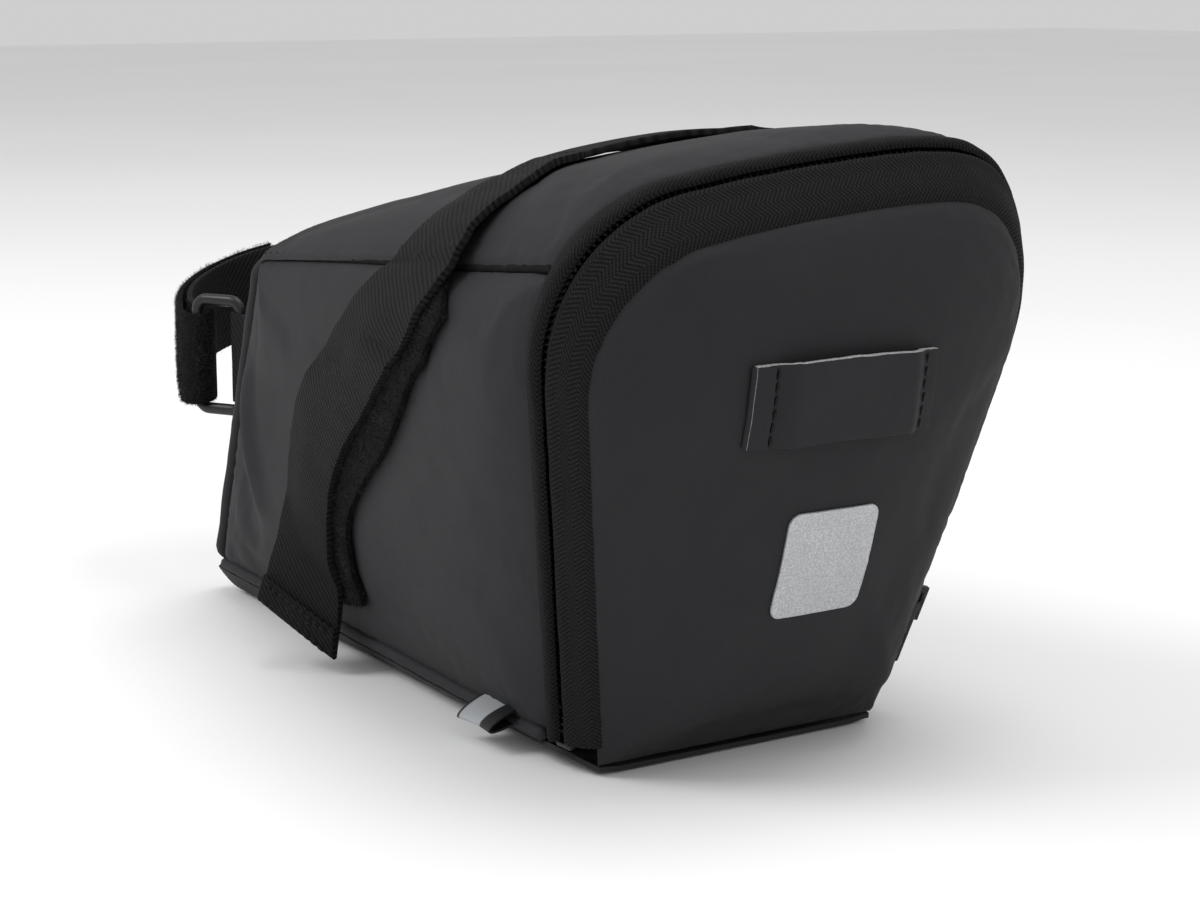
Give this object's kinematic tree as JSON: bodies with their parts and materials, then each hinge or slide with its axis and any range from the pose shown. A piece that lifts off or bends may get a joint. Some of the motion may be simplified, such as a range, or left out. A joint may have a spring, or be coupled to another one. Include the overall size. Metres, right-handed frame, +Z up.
{
  "type": "saddle bag",
  "caption": "Wedge-shaped fabric bag for under a bicycle saddle: U-zipped leaning rear flap with a lamp loop, a rail strap with two tails and a seatpost strap.",
  "frame": {"origin": "middle of the flat foot that the bag stands on", "axes": "+X towards the zipped rear flap, -X towards the seatpost, -Y the left side of the bicycle, +Z up"},
  "size_m": [0.2297, 0.099, 0.1061],
  "materials": {
    "coated_fabric": "matt coated fabric",
    "liner_fabric": "plain liner",
    "foam_board": "closed-cell foam",
    "plastic_board": "natural plastic sheet",
    "zip_tape": "herringbone tape",
    "zip_coil": "nylon coil",
    "webbing": "ribbed webbing",
    "loop_pile": "fuzzy loop pile",
    "black_plastic": "moulded acetal",
    "painted_metal": "black enamel",
    "reflective_film": "silver reflective film"
  },
  "bodies": {
    "bag": {"left_side_panel": "coated_fabric", "right_side_panel": "coated_fabric", "top_panel": "coated_fabric", "front_panel": "coated_fabric", "bottom_panel": "coated_fabric", "front_piping": "coated_fabric", "left_side_board": "foam_board", "right_side_board": "foam_board", "top_board": "foam_board", "front_board": "foam_board", "bottom_board": "plastic_board", "body_lining": "liner_fabric", "body_zip_tape": "zip_tape", "body_zip_coil": "zip_coil", "left_zip_stop": "painted_metal", "right_zip_stop": "painted_metal", "left_pile_strip": "loop_pile", "right_pile_strip": "loop_pile", "rail_strap": "webbing", "post_strap": "webbing", "post_strap_root": "webbing", "ring_tab": "webbing", "side_tag": "reflective_film"},
    "rear_flap": {"rear_flap_panel": "coated_fabric", "flap_board": "plastic_board", "flap_lining": "liner_fabric", "flap_zip_tape": "zip_tape", "flap_zip_coil": "zip_coil", "lamp_loop": "webbing", "reflective_patch": "reflective_film"},
    "zip_slider": {"zip_slider": "painted_metal"},
    "zip_pull": {"zip_pull": "painted_metal"},
    "left_tail": {"left_strap_tail": "webbing"},
    "right_tail": {"right_strap_tail": "webbing"},
    "strap_ring": {"post_strap_ring": "black_plastic"},
    "post_strap_tail": {"post_strap_tail": "loop_pile"}
  },
  "joints": [
    {"name": "flap_open", "type": "hinge", "parent": "bag", "child": "rear_flap", "pos_m": [0.078, 0, 0.0016], "axis": [0, 1, 0], "range_deg": [0, 60]},
    {"name": "slider_run", "type": "slide", "parent": "bag", "child": "zip_slider", "axis": [0.2545, 0.2162, 0.9426], "range_m": [-0.004, 0.036]},
    {"name": "pull_swing", "type": "hinge", "parent": "zip_slider", "child": "zip_pull", "pos_m": [0.07613, 0.03993, 0.02073], "axis": [0.9386, -0.2901, -0.1869], "range_deg": [0, 140]},
    {"name": "left_tail_peel", "type": "hinge", "parent": "bag", "child": "left_tail", "pos_m": [0.04169, -0.04431, 0.08532], "axis": [-0.7278, 0.3529, 0.588], "range_deg": [0, 140]},
    {"name": "right_tail_peel", "type": "hinge", "parent": "bag", "child": "right_tail", "pos_m": [0.04169, 0.04431, 0.08532], "axis": [0.7278, 0.3529, -0.588], "range_deg": [0, 140]},
    {"name": "ring_swivel", "type": "hinge", "parent": "bag", "child": "strap_ring", "pos_m": [-0.08389, -0.01582, 0.05083], "axis": [0, 0, 1], "range_deg": [-10, 10]},
    {"name": "post_tail_peel", "type": "hinge", "parent": "bag", "child": "post_strap_tail", "pos_m": [-0.09775, -0.02307, 0.04919], "axis": [0, 0, 1], "range_deg": [0, 100]}
  ]
}
